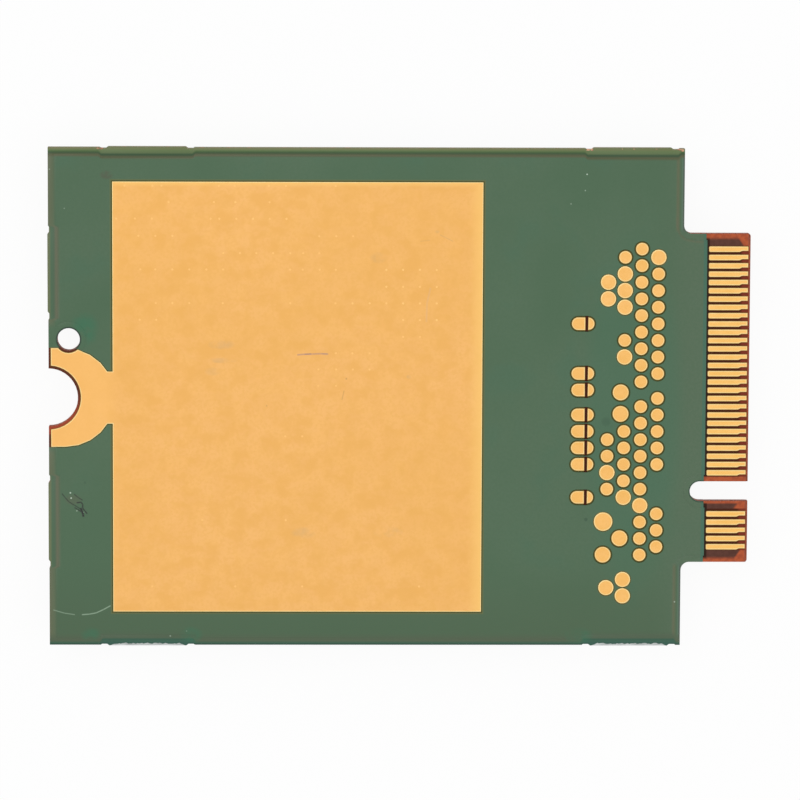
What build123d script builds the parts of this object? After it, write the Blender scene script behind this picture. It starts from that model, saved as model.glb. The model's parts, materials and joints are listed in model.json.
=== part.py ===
from build123d import *
import os

# A plug-in radio modem card, 42 x 30 mm, lying on its shield cover with its bare pad side up.
# +X runs from the mounting end to the card-edge tongue and +Z points up, out of the pad side.
# The origin is under the middle of the card, on the plane of the shield cover's outer face.
# All sizes are in millimetres.

# Board
card_length = 42.0
card_width = 30.0
tongue_length = 4.0
tongue_side_margin = 0.675        # from the last contact's middle to the tongue's side
tongue_corner_radius = 0.15
shoulder_radius = 0.5
tip_bevel = 0.12
laminate_thickness = 0.72
copper_thickness = 0.04
mask_on_laminate = 0.03
mask_on_copper = 0.02
mount_notch_radius = 1.75
tooling_hole_diameter = 1.35
tooling_hole_from_end = 1.2
tooling_hole_offset = 3.5
pour_setback = 0.45               # from the board's edge to the buried copper's edge
copper_edge_gap = 0.12            # from the board's edge to bare copper
copper_notch_gap = 0.16           # from the mounting notch to bare copper

# Stubs of the tabs that held the card in its panel
tab_stub_width = 5.2
tab_stub_height = 0.04
tab_scallop_radius = 0.5
tab_scallop_depth = 0.08
tab_pour_setback = 0.2            # how much further in the copper stays beside a tab
tab_pour_margin = 0.25            # how far that runs past each end of the tab
end_tab_offset = 7.5
side_tab_from_mount_end = 5.9
side_tab_from_shoulder = 3.1

# Card-edge contacts
contact_pitch = 0.5
component_side_count = 38
pad_side_count = 37
contact_width = 0.37
contact_length = 2.385
contact_from_tip = 0.125
contact_tail_step = 0.07
contact_tail_length = 0.375
contact_taper_length = 0.16
contact_to_mask = 0.15
key_slot_width = 1.2
key_slot_depth = 3.5
before_key_count = 6              # component-side contacts before those left out at the key slot
key_blank_count = 4               # contacts that the key slot leaves out on each side

# Bare ground pad and mounting ring
ground_pad_from_mount_end = 3.8
ground_pad_to_shoulder = 12.0
ground_pad_to_side = 2.0
ring_radius = 3.0
ring_centre_from_end = 1.0
ring_sides = 24
ring_neck_width = 3.2

# Probe pads, on a grid counted from the tongue's shoulders and the card's middle line
probe_pitch = 1.0
probe_columns_from_shoulder = 1.5
probe_gap = 0.2                   # copper to copper between two isolated pads in a column
mask_web = 0.05                   # mask left between two filled openings in a column
isolation_gap = 0.075             # bare ring round an isolated pad
wide_pad_diameter = 1.0
filled_wide_diameter = 1.15
round_sides = 10                  # small rounds are polygons of this many sides, which keeps the model light
split_pad_from_shoulder = 6.0
split_pad_length = 1.4
split_pad_width = 0.8
split_slit = 0.14
split_slit_offset = 0.215
stadium_sides = 12                # sides of the polygon that rounds off each end of a split pad

# Shield
component_height = 1.5            # from the component-side copper to the cover's outer face
sheet_thickness = 0.15
shield_to_ring = 0.7
shield_to_shoulder = 1.3
shield_to_side = 0.75
cover_clearance = 0.05
cover_corner_cut = 0.4
cover_skirt = 0.85
cover_corner_slot = 0.9
skirt_slit_width = 0.25
frame_flange = 0.9
window_corner_cut = 0.4
foot_gap_width = 0.8
foot_gap_height = 0.3
foot_pitch = 5.0
latch_length = 1.0
latch_height = 0.3
latch_clearance = 0.08
latches_on_long_side = 4
latches_on_short_side = 3
land_width = 0.5
radio_share_of_length = 0.47      # where the frame's cross wall stands
amplifier_share_of_width = 0.5

# Antenna receptacles
receptacle_from_end = 2.1
receptacle_from_side = 5.0
receptacle_base = 2.0
receptacle_base_height = 0.2
receptacle_corner = 0.25
receptacle_ring_radius = 0.75
receptacle_ring_wall = 0.1
receptacle_height = 0.6
receptacle_groove_depth = 0.04
receptacle_groove_height = 0.12
receptacle_foot_width = 0.5
receptacle_foot_height = 0.06
receptacle_pin_radius = 0.12
receptacle_pin_height = 0.45
receptacle_land_reach = 0.2
receptacle_land_width = 0.6

# Chips under the shield: length, width and height of each package
substrate_thickness = 0.22
mould_inset = 0.1
processor_size = (9.5, 9.5, 0.9)
memory_size = (8.0, 9.0, 0.8)
power_chip_size = (4.0, 4.0, 0.6)
transceiver_size = (5.6, 5.6, 0.75)
clock_buffer_size = (1.6, 1.6, 0.5)
amplifier_size = (3.6, 3.0, 0.8)
tracker_size = (2.0, 2.0, 0.55)
switch_size = (2.4, 2.4, 0.6)
low_noise_amplifier_size = (1.5, 1.1, 0.45)
duplexer_size = (2.0, 1.6, 0.6)
filter_size = (1.4, 1.1, 0.5)
crystal_size = (2.0, 1.6, 0.65)
crystal_lid_inset = 0.15
crystal_lid_height = 0.2
inductor_size = (2.0, 2.0, 0.95)
inductor_corner_cut = 0.3
bulk_capacitor_size = (1.6, 0.8, 0.8)
chip_capacitor_size = (1.0, 0.5, 0.5)
chip_resistor_size = (1.0, 0.5, 0.35)
terminal_share = 0.22             # each metal end's part of a chip capacitor's length
terminal_swell = 0.03
capacitor_clearance = 0.12        # from the processor's edge to the capacitors beside it
capacitors_in_row = 7

# Places that follow from the sizes above
mount_end = -card_length / 2
tip = card_length / 2
shoulder = tip - tongue_length
half_width = card_width / 2
contact_span = (component_side_count - 1) * contact_pitch
tongue_half = contact_span / 2 + tongue_side_margin
key_offset = contact_pitch / 4     # from the key slot to the middle of a side's left-out contacts
left_out_middle = before_key_count + (key_blank_count - 1) / 2
key_slot_y = -contact_span / 2 + left_out_middle * contact_pitch - key_offset
contact_start = tip - contact_from_tip - contact_length
mask_end = contact_start - contact_to_mask
ring_centre = mount_end + ring_centre_from_end
pad_start = mount_end + ground_pad_from_mount_end
pad_end = shoulder - ground_pad_to_shoulder
mask_face = copper_thickness + mask_on_copper
shield_face = copper_thickness + component_height
frame_top = shield_face - sheet_thickness
component_laminate_z = shield_face
pad_laminate_z = component_laminate_z + laminate_thickness
cover_start = ring_centre + ring_radius + shield_to_ring
cover_end = shoulder - shield_to_shoulder
cover_half = half_width - shield_to_side
frame_inset = sheet_thickness + cover_clearance
frame_start = cover_start + frame_inset
frame_end = cover_end - frame_inset
frame_half = cover_half - frame_inset
cross_wall = frame_start + radio_share_of_length * (frame_end - frame_start)
radio_wall = -frame_half + amplifier_share_of_width * 2 * frame_half


def area(x0, y0, x1, y1):
    """A rectangle given by two opposite corners."""
    return Pos((x0 + x1) / 2, (y0 + y1) / 2) * Rectangle(x1 - x0, y1 - y0)


def pad_side(plan, near, far):
    """A layer on the pad side, between two heights above the laminate's upper face."""
    return extrude(Pos(0, 0, pad_laminate_z + near) * plan, amount=far - near)


def component_side(plan, near, far):
    """A layer on the component side, between two depths below the laminate's lower face."""
    return extrude(Pos(0, 0, component_laminate_z - far) * plan, amount=far - near)


def save(name, *pieces):
    """Write one node, made of one or more separate solids."""
    solids = [solid for piece in pieces for solid in piece.solids()]
    shape = solids[0] if len(solids) == 1 else Compound(children=solids)
    export_step(shape, f"parts/{name}.step")


def corner_points(plan, x, ys):
    """The corners of a plan that lie at x and at one of the given y."""
    return [v for v in plan.vertices() if abs(v.X - x) < 1e-6 and min(abs(v.Y - y) for y in ys) < 1e-6]


def tab_places():
    """Middle of each tab stub and the angle of its outward direction."""
    side_x = (mount_end + side_tab_from_mount_end, shoulder - side_tab_from_shoulder)
    for x in side_x:
        yield x, half_width, 0
        yield x, -half_width, 180
    for y in (end_tab_offset, -end_tab_offset):
        yield mount_end, y, 90


def board_plan(setback=0.0):
    """Outline of the card, or of a layer that stays inside it by the setback."""
    end = mount_end + setback
    side = half_width - setback
    tongue_side = tongue_half - setback
    front = shoulder - setback
    plan = area(end, -side, front, side) + area(front, -tongue_side, tip - setback, tongue_side)
    plan = fillet(corner_points(plan, front, (tongue_side, -tongue_side)), shoulder_radius + setback)
    plan = fillet(corner_points(plan, tip - setback, (tongue_side, -tongue_side)), tongue_corner_radius)
    slot_half = key_slot_width / 2 + setback
    slot_end = tip - key_slot_depth + key_slot_width / 2
    plan -= area(slot_end, key_slot_y - slot_half, tip + 1, key_slot_y + slot_half)
    plan -= Pos(slot_end, key_slot_y) * Circle(slot_half)
    plan -= Pos(mount_end, 0) * Circle(mount_notch_radius + setback)
    hole_x = mount_end + tooling_hole_from_end
    return plan - Pos(hole_x, tooling_hole_offset) * Circle(tooling_hole_diameter / 2 + setback)


def laminate_plan():
    """Card outline with the tab stubs and the shallow scallop at each end of a stub."""
    plan = board_plan()
    reach = tab_stub_width / 2
    sink = tab_scallop_radius - tab_scallop_depth
    for x, y, turn in tab_places():
        place = Pos(x, y) * Rot(0, 0, turn)
        plan += place * area(-reach, -tab_scallop_radius, reach, tab_stub_height)
        for end in (-reach, reach):
            plan -= place * Pos(end, sink) * RegularPolygon(tab_scallop_radius, round_sides)
    return plan


def pour_plan():
    """Buried copper under the mask: set back from the edges, and further beside the tabs."""
    plan = board_plan(pour_setback)
    inner = pour_setback + tab_pour_setback
    reach = tab_stub_width / 2 + tab_pour_margin
    for x, y, turn in tab_places():
        plan -= Pos(x, y) * Rot(0, 0, turn) * area(-reach, -inner, reach, 0)
    return plan


def ring_plan():
    """Copper round the mounting notch: a many-sided disc with a straight run to the card's end."""
    disc = Pos(ring_centre, 0) * RegularPolygon(ring_radius, ring_sides, major_radius=True)
    return disc + area(mount_end - ring_radius, -ring_radius, ring_centre, ring_radius)


def ground_opening_plan():
    """Opening in the pad-side mask over the ground pad, its neck and the mounting ring."""
    half = half_width - ground_pad_to_side
    neck = area(ring_centre, -ring_neck_width / 2, pad_start, ring_neck_width / 2)
    return area(pad_start, -half, pad_end, half) + ring_plan() + neck


def contact_plan():
    """One card-edge contact, with its tail narrowed on one side."""
    half = contact_width / 2
    end = contact_start + contact_length
    tail = end - contact_tail_length
    outline = Polyline(
        (contact_start, -half),
        (tail - contact_taper_length, -half),
        (tail, -half + contact_tail_step),
        (end, -half + contact_tail_step),
        (end, half),
        (contact_start, half),
        close=True,
    )
    return make_face(outline)


def contact_places(places):
    """Y of every contact on one side, leaving out those at the key slot."""
    first = -(places - 1) * contact_pitch / 2
    gap = (key_blank_count + 1) * contact_pitch / 2
    every = [first + i * contact_pitch for i in range(places)]
    return [y for y in every if abs(y - nearest_key_middle(places)) > gap - contact_pitch / 4]


def nearest_key_middle(places):
    """Middle of the left-out contacts: the key slot's place moved to that side's own grid."""
    return key_slot_y + (key_offset if places == component_side_count else -key_offset)


def contacts(places, layer):
    return [layer(Pos(0, y) * contact_plan(), 0, copper_thickness) for y in contact_places(places)]


def probe_point(column, row):
    """A grid place: column 0 is next to the tongue's shoulders, row 0 is the card's middle line."""
    x = shoulder - probe_columns_from_shoulder - column * probe_pitch
    return Pos(x, row * probe_pitch)


def run(column, first_row, count):
    """Grid places one below another in a column."""
    return [probe_point(column, first_row - i) for i in range(count)]


def isolated_probe_places():
    places = run(0, 7.5, 7) + run(0, 0, 5) + run(0, -7, 3)
    places += run(1, 9, 9) + run(1, -0.5, 6) + run(1, -7.5, 3)
    places += run(2, 8.5, 1) + run(2, 3.5, 1) + run(2, -2, 4)
    return places + run(3, -2.5, 2) + run(3, -5.5, 1)


def wide_probe_places():
    """Larger isolated pads, which stand a little off the grid."""
    return [probe_point(2.21, row) for row in (0.36, -0.94, -8.49)] + [probe_point(3.21, -9.49)]


def grounded_probe_places():
    places = run(0, 8.5, 1) + run(1, -6.5, 1) + run(2, 7.5, 3) + run(2, 2.5, 1) + run(2, -6, 1)
    places += run(3, 7, 2) + run(3, -4.5, 1)
    return places + run(2, -11, 2) + run(3, -11.5, 1)


def wide_grounded_place():
    return probe_point(3.2, -7.48)


def split_pad_places():
    rows = (4.5, 1.5, 0.5, -1, -2, -3, -4, -6)
    return [Pos(shoulder - split_pad_from_shoulder, row * probe_pitch) for row in rows]


def round_plan(diameter):
    return RegularPolygon(diameter / 2, round_sides, major_radius=True)


def probe_pad_diameter():
    return probe_pitch - probe_gap


def grounded_pad_diameter():
    return probe_pitch - mask_web


def stadium_plan(length, width):
    """A strip with two rounded ends."""
    reach = (length - width) / 2
    plan = area(-reach, -width / 2, reach, width / 2)
    for x in (-reach, reach):
        plan += Pos(x, 0) * Rot(0, 0, 90) * RegularPolygon(width / 2, stadium_sides)
    return plan


def split_pad_plan():
    """Two copper halves parted by a narrow slit."""
    half = split_pad_width / 2
    slit = area(-split_slit / 2, -half, split_slit / 2, half)
    return stadium_plan(split_pad_length, split_pad_width) - Pos(split_slit_offset, 0) * slit


def pad_openings():
    """Every opening in the pad-side mask over a probe pad or a split pad."""
    grown = 2 * isolation_gap
    plans = [place * round_plan(probe_pad_diameter() + grown) for place in isolated_probe_places()]
    plans += [place * round_plan(wide_pad_diameter + grown) for place in wide_probe_places()]
    plans += [place * round_plan(grounded_pad_diameter()) for place in grounded_probe_places()]
    plans.append(wide_grounded_place() * round_plan(filled_wide_diameter))
    split_opening = stadium_plan(split_pad_length + grown, split_pad_width + grown)
    return plans + [place * split_opening for place in split_pad_places()]


def mask_plan(openings):
    """Solder mask on one side, up to the contacts, with its openings."""
    kept = area(mount_end - 1, -card_width, mask_end, card_width)
    return (laminate_plan() & kept) - openings


def pad_side_mask(openings):
    """Mask that is thin over bare laminate, with a step up over the buried copper."""
    kept = area(mount_end - 1, -card_width, mask_end, card_width)
    raised = (pour_plan() & kept) - openings
    step = mask_on_laminate
    return pad_side(mask_plan(openings), 0, step) + pad_side(raised, step, mask_face)


def circuit_board():
    """Laminate with a bevelled leading edge on the tongue."""
    board = pad_side(laminate_plan(), -laminate_thickness, 0)
    top = pad_laminate_z
    bottom = component_laminate_z
    for z, inward in ((top, -1), (bottom, 1)):
        wedge = Polyline(
            (tip - tip_bevel, 0, z),
            (tip, 0, z + inward * tip_bevel),
            (tip, 0, z),
            close=True,
        )
        board -= extrude(make_face(wedge), amount=card_width, both=True)
    return board


def bare_copper(plan, layer):
    """Copper that stays clear of the card's cut edges."""
    notch = Pos(mount_end, 0) * Circle(mount_notch_radius + copper_notch_gap)
    return layer((plan & board_plan(copper_edge_gap)) - notch, 0, copper_thickness)


def probe_pads():
    small = round_plan(probe_pad_diameter())
    wide = round_plan(wide_pad_diameter)
    plans = [place * small for place in isolated_probe_places()]
    plans += [place * wide for place in wide_probe_places()]
    return [pad_side(plan, 0, copper_thickness) for plan in plans]


def grounded_probe_pads():
    small = round_plan(grounded_pad_diameter())
    plans = [place * small for place in grounded_probe_places()]
    plans.append(wide_grounded_place() * round_plan(filled_wide_diameter))
    return [pad_side(plan, 0, copper_thickness) for plan in plans]


def split_pads():
    return [pad_side(place * split_pad_plan(), 0, copper_thickness) for place in split_pad_places()]


def compartments():
    """Inside corners of the shield frame's three rooms: amplifier, transceiver and digital."""
    inner = sheet_thickness
    half_wall = sheet_thickness / 2
    start = frame_start + inner
    end = frame_end - inner
    side = frame_half - inner
    return {
        "amplifier": (start, radio_wall + half_wall, cross_wall - half_wall, side),
        "transceiver": (start, -side, cross_wall - half_wall, radio_wall - half_wall),
        "digital": (cross_wall + half_wall, -side, end, side),
    }


def spot(room, along, across):
    """A place in a compartment, as shares of its length and width."""
    x0, y0, x1, y1 = compartments()[room]
    return Pos(x0 + along * (x1 - x0), y0 + across * (y1 - y0))


def frame_walls_plan():
    """The frame's outer walls and the two walls that part its compartments."""
    outer = area(frame_start, -frame_half, frame_end, frame_half)
    rooms = [area(*corners) for corners in compartments().values()]
    return outer - rooms


def frame_windows():
    """Openings in the frame's top, inside a flange that runs along every wall."""
    for x0, y0, x1, y1 in compartments().values():
        length = x1 - x0 - 2 * frame_flange
        width = y1 - y0 - 2 * frame_flange
        window = Rectangle(length, width)
        window = chamfer(window.vertices(), window_corner_cut)
        yield Pos((x0 + x1) / 2, (y0 + y1) / 2) * window


def along_sides(start, end, half, count_long, count_short):
    """Evenly spread places on the four sides of a rectangle, each with its outward turn."""
    for i in range(count_long):
        x = start + (i + 0.5) * (end - start) / count_long
        yield Pos(x, half) * Rot(0, 0, 0)
        yield Pos(x, -half) * Rot(0, 0, 180)
    for i in range(count_short):
        y = -half + (i + 0.5) * 2 * half / count_short
        yield Pos(end, y) * Rot(0, 0, -90)
        yield Pos(start, y) * Rot(0, 0, 90)


def latch_places():
    return along_sides(frame_start, frame_end, frame_half, latches_on_long_side, latches_on_short_side)


def latch_depths():
    """Lower and upper edge of a latch, half-way down the cover's skirt."""
    middle = frame_top - cover_skirt / 2
    return middle - latch_height / 2, middle + latch_height / 2


def shield_frame():
    """Soldered fence: walls on feet, a flange round the top and windows for the cover's latches."""
    walls = component_side(frame_walls_plan(), copper_thickness, frame_top)
    lid = area(frame_start, -frame_half, frame_end, frame_half) - list(frame_windows())
    frame = walls + component_side(lid, frame_top - sheet_thickness, frame_top)
    gaps_long = round((frame_end - frame_start) / foot_pitch)
    gaps_short = round(2 * frame_half / foot_pitch)
    gap = area(-foot_gap_width / 2, -2 * sheet_thickness, foot_gap_width / 2, sheet_thickness)
    near = copper_thickness
    for place in along_sides(frame_start, frame_end, frame_half, gaps_long, gaps_short):
        frame -= component_side(place * gap, near, near + foot_gap_height)
    low, high = latch_depths()
    reach = latch_length / 2 + latch_clearance
    window = area(-reach, -2 * sheet_thickness, reach, sheet_thickness)
    for place in latch_places():
        frame -= component_side(place * window, low - latch_clearance, high + latch_clearance)
    return frame


def shield_cover():
    """Pressed lid: flat top with a rolled edge, and a skirt of spring tabs with inward latches."""
    sheet = sheet_thickness
    low = frame_top - cover_skirt
    blank = area(cover_start, -cover_half, cover_end, cover_half)
    block = component_side(blank, low, shield_face)
    block = fillet(block.faces().sort_by(Axis.Z)[0].edges(), sheet)
    inside = area(cover_start + sheet, -cover_half + sheet, cover_end - sheet, cover_half - sheet)
    cover = block - component_side(inside, low, frame_top)
    slot = Rectangle(2 * cover_corner_slot, 2 * cover_corner_slot)
    cut = RegularPolygon(cover_corner_cut, 4)
    for x in (cover_start, cover_end):
        for y in (-cover_half, cover_half):
            cover -= component_side(Pos(x, y) * slot, low, frame_top)
            cover -= component_side(Pos(x, y) * cut, low, shield_face)
    slit = area(-skirt_slit_width / 2, -2 * sheet_thickness, skirt_slit_width / 2, sheet_thickness)
    for place in slit_places():
        cover -= component_side(place * slit, low, frame_top)
    near, far = latch_depths()
    latch = area(-latch_length / 2, -sheet_thickness / 2, latch_length / 2, cover_clearance)
    for place in latch_places():
        cover += component_side(place * latch, near, far)
    return cover


def slit_places():
    """Slits that part the skirt into one tab for each latch."""
    long_step = (frame_end - frame_start) / latches_on_long_side
    short_step = 2 * frame_half / latches_on_short_side
    for i in range(1, latches_on_long_side):
        x = frame_start + i * long_step
        yield Pos(x, cover_half)
        yield Pos(x, -cover_half) * Rot(0, 0, 180)
    for i in range(1, latches_on_short_side):
        y = -frame_half + i * short_step
        yield Pos(cover_end, y) * Rot(0, 0, -90)
        yield Pos(cover_start, y) * Rot(0, 0, 90)


def shield_land_plan():
    """Bare copper track that the frame's feet are soldered to."""
    grown = (land_width - sheet_thickness) / 2
    outer = area(frame_start - grown, -frame_half - grown, frame_end + grown, frame_half + grown)
    rooms = []
    for x0, y0, x1, y1 in compartments().values():
        rooms.append(area(x0 + grown, y0 + grown, x1 - grown, y1 - grown))
    return outer - rooms


def receptacle_places():
    x = mount_end + receptacle_from_end
    y = half_width - receptacle_from_side
    return {"main": Pos(x, y), "auxiliary": Pos(x, -y)}


def receptacle_land_plans():
    """Two ground lands beside the base and one signal land at its inner edge."""
    reach = receptacle_base / 2 + receptacle_land_reach
    inner = receptacle_base / 2 - receptacle_land_reach
    half = receptacle_land_width / 2
    signal = area(inner, -half, reach, half)
    return [area(-half, inner, half, reach), area(-half, -reach, half, -inner), signal]


def receptacle_opening():
    reach = receptacle_base / 2 + receptacle_land_reach
    return Rectangle(2 * reach, 2 * reach)


def receptacle_base_block(place):
    """Moulded base with two cut corners, standing on its lands."""
    half = receptacle_base / 2
    plan = Rectangle(receptacle_base, receptacle_base)
    plan = chamfer(corner_points(plan, half, (half, -half)), receptacle_corner)
    top = copper_thickness + receptacle_base_height
    return component_side(place * plan, copper_thickness, top)


def receptacle_shell(place):
    """Round outer contact: a ring with a snap groove, and two flat feet on the base."""
    outer = receptacle_ring_radius
    inner = outer - receptacle_ring_wall
    foot = copper_thickness + receptacle_base_height
    rim = copper_thickness + receptacle_height
    groove_low = (foot + rim - receptacle_groove_height) / 2
    groove_high = groove_low + receptacle_groove_height
    waist = outer - receptacle_groove_depth
    section = Polyline(
        (inner, 0, -foot),
        (outer, 0, -foot),
        (outer, 0, -groove_low),
        (waist, 0, -(groove_low + groove_high) / 2),
        (outer, 0, -groove_high),
        (outer, 0, -rim),
        (inner, 0, -rim),
        close=True,
    )
    shell = place * Pos(0, 0, component_laminate_z) * revolve(make_face(section), Axis.Z)
    half = receptacle_foot_width / 2
    middle = outer - receptacle_ring_wall / 2
    for side in (0, 180):
        tab = Rot(0, 0, side) * area(-half, middle, half, receptacle_base / 2)
        shell += component_side(place * tab, foot, foot + receptacle_foot_height)
    return shell


def receptacle_pin(place):
    """Centre contact, which stands on the base a little short of the ring's rim."""
    foot = copper_thickness + receptacle_base_height
    plan = RegularPolygon(receptacle_pin_radius, round_sides)
    return component_side(place * plan, foot, copper_thickness + receptacle_pin_height)


def package(place, size):
    """Moulded chip: a thin substrate on the board and a slightly smaller cap."""
    length, width, height = size
    cap = Rectangle(length - 2 * mould_inset, width - 2 * mould_inset)
    deck = mask_face + substrate_thickness
    body = component_side(place * Rectangle(length, width), mask_face, deck)
    return body + component_side(place * cap, deck, mask_face + height)


def sealed_filter(place, size):
    """Plain lidded filter can."""
    return component_side(place * Rectangle(size[0], size[1]), mask_face, mask_face + size[2])


def crystal(place):
    """Ceramic tray with a smaller metal lid."""
    length, width, height = crystal_size
    tray_top = mask_face + height - crystal_lid_height
    tray = component_side(place * Rectangle(length, width), mask_face, tray_top)
    lid = Rectangle(length - 2 * crystal_lid_inset, width - 2 * crystal_lid_inset)
    return tray + component_side(place * lid, tray_top, mask_face + height)


def inductor(place):
    length, width, height = inductor_size
    plan = chamfer(Rectangle(length, width).vertices(), inductor_corner_cut)
    return component_side(place * plan, mask_face, mask_face + height)


def chip_passive(place, size):
    """Ceramic block whose two metal ends stand a little proud of it."""
    length, width, height = size
    end_length = terminal_share * length
    body = Rectangle(length - 2 * end_length, width)
    part = component_side(place * body, mask_face, mask_face + height)
    end = Rectangle(end_length, width + 2 * terminal_swell)
    for side in (-1, 1):
        end_place = place * Pos(side * (length - end_length) / 2, 0)
        part += component_side(end_place * end, mask_face, mask_face + height + terminal_swell)
    return part


def row(room, start, end, count, turn=0):
    """Places spread evenly between two points of a compartment, given as shares of its size."""
    for i in range(count):
        share = i / (count - 1)
        along = start[0] + share * (end[0] - start[0])
        across = start[1] + share * (end[1] - start[1])
        yield spot(room, along, across) * Rot(0, 0, turn)


def thermal_pad(place, size):
    """Soft block that fills the gap between a chip's top and the shield cover."""
    length, width, height = size
    plan = place * Rectangle(length - 2 * mould_inset, width - 2 * mould_inset)
    return component_side(plan, mask_face + height, frame_top)


def processor_place():
    return spot("digital", 0.40, 0.26)


def processor_capacitors():
    """Capacitors in a row along two opposite edges of the processor."""
    length, width, _ = processor_size
    reach = width / 2 + capacitor_clearance + chip_capacitor_size[0] / 2
    for i in range(capacitors_in_row):
        along = ((i + 0.5) / capacitors_in_row - 0.5) * length
        for across in (-reach, reach):
            place = processor_place() * Pos(along, across) * Rot(0, 0, 90)
            yield chip_passive(place, chip_capacitor_size)


def amplifier_places():
    first_row = list(row("amplifier", (0.24, 0.5), (0.76, 0.5), 2))
    return first_row + list(row("amplifier", (0.24, 0.8), (0.76, 0.8), 2))


def save_board():
    openings = [ground_opening_plan()] + pad_openings()
    save("circuit_board", circuit_board())
    save("pad_side_solder_mask", pad_side_mask(openings))
    land_openings = [ring_plan(), shield_land_plan()]
    land_openings += [place * receptacle_opening() for place in receptacle_places().values()]
    save("component_side_solder_mask", component_side(mask_plan(land_openings), 0, mask_face))
    save("ground_pad", bare_copper(ground_opening_plan(), pad_side))
    save("component_side_mount_pad", bare_copper(ring_plan(), component_side))
    save("even_contacts", *contacts(pad_side_count, pad_side))
    save("odd_contacts", *contacts(component_side_count, component_side))
    save("test_pads", *probe_pads())
    save("ground_test_pads", *grounded_probe_pads())
    save("split_pads", *split_pads())
    save("shield_land", component_side(shield_land_plan(), 0, copper_thickness))
    lands = [place * plan for place in receptacle_places().values() for plan in receptacle_land_plans()]
    save("receptacle_lands", *[component_side(plan, 0, copper_thickness) for plan in lands])


def save_shield():
    save("shield_frame", shield_frame())
    save("shield_cover", shield_cover())
    save("processor_thermal_pad", thermal_pad(processor_place(), processor_size))
    pads = [thermal_pad(place, amplifier_size) for place in amplifier_places()]
    save("amplifier_thermal_pads", *pads)


def save_receptacles():
    for name, place in receptacle_places().items():
        save(f"{name}_receptacle_base", receptacle_base_block(place))
        save(f"{name}_receptacle_shell", receptacle_shell(place))
        save(f"{name}_receptacle_pin", receptacle_pin(place))


def save_digital_parts():
    save("baseband_processor", package(processor_place(), processor_size))
    save("memory_chip", package(spot("digital", 0.33, 0.72), memory_size))
    save("power_management_chip", package(spot("digital", 0.82, 0.66), power_chip_size))
    coils = row("digital", (0.74, 0.82), (0.905, 0.82), 2)
    more_coils = row("digital", (0.74, 0.93), (0.905, 0.93), 2)
    save("power_inductors", *[inductor(place) for place in (*coils, *more_coils)])
    tanks = list(row("digital", (0.90, 0.12), (0.90, 0.48), 6))
    save("bulk_capacitors", *[chip_passive(place, bulk_capacitor_size) for place in tanks])
    save("digital_capacitors", *processor_capacitors())
    above = list(row("digital", (0.08, 0.95), (0.54, 0.95), 5, 90))
    save("chip_resistors", *[chip_passive(place, chip_resistor_size) for place in above])


def save_radio_parts():
    save("rf_transceiver", package(spot("transceiver", 0.60, 0.50), transceiver_size))
    save("reference_crystal", crystal(spot("transceiver", 0.60, 0.16)))
    save("clock_buffer", package(spot("transceiver", 0.84, 0.16), clock_buffer_size))
    save("low_noise_amplifiers", *amplifiers_for_reception())
    duplexer_places = list(row("amplifier", (0.16, 0.22), (0.84, 0.22), 5, 90))
    save("duplexers", *[sealed_filter(place, duplexer_size) for place in duplexer_places])
    filter_places = list(row("transceiver", (0.16, 0.88), (0.84, 0.88), 5, 90))
    save("receive_filters", *[sealed_filter(place, filter_size) for place in filter_places])
    save("power_amplifiers", *[package(place, amplifier_size) for place in amplifier_places()])
    save("envelope_tracker", package(spot("amplifier", 0.50, 0.65), tracker_size))
    save("antenna_switch", package(spot("transceiver", 0.16, 0.16), switch_size))
    radio = list(row("transceiver", (0.92, 0.34), (0.92, 0.68), 4))
    save("radio_capacitors", *[chip_passive(place, chip_capacitor_size) for place in radio])


def amplifiers_for_reception():
    return [package(place, low_noise_amplifier_size) for place in row("transceiver", (0.16, 0.40), (0.16, 0.72), 3)]


def main():
    os.makedirs("parts", exist_ok=True)
    save_board()
    save_shield()
    save_receptacles()
    save_digital_parts()
    save_radio_parts()


main()
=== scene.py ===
import json
import math
import random

import bmesh
import bpy
from mathutils import Matrix, Vector
from mathutils.geometry import delaunay_2d_cdt

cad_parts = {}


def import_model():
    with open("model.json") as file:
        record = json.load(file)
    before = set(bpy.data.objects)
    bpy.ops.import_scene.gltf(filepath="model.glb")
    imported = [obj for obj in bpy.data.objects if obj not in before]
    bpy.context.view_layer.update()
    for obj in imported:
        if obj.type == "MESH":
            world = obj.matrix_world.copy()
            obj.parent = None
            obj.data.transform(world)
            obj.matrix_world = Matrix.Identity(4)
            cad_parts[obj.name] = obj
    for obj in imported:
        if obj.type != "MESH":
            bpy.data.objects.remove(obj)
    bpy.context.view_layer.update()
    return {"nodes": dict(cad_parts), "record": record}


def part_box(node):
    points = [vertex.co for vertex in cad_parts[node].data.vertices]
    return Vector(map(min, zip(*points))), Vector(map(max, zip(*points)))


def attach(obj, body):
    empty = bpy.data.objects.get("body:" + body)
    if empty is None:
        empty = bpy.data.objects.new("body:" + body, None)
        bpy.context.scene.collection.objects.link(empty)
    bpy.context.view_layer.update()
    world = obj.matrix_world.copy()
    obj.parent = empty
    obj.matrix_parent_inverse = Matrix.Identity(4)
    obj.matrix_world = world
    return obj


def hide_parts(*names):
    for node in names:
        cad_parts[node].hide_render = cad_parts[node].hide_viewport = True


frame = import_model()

# The card lies on its shield cover with its bare pad side up.
# Lengths and places are in millimetres here, and become metres when a mesh is made.
MM = 0.001
LEVEL = 0.002                     # how far a corner may be off a height that it is looked for at

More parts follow.
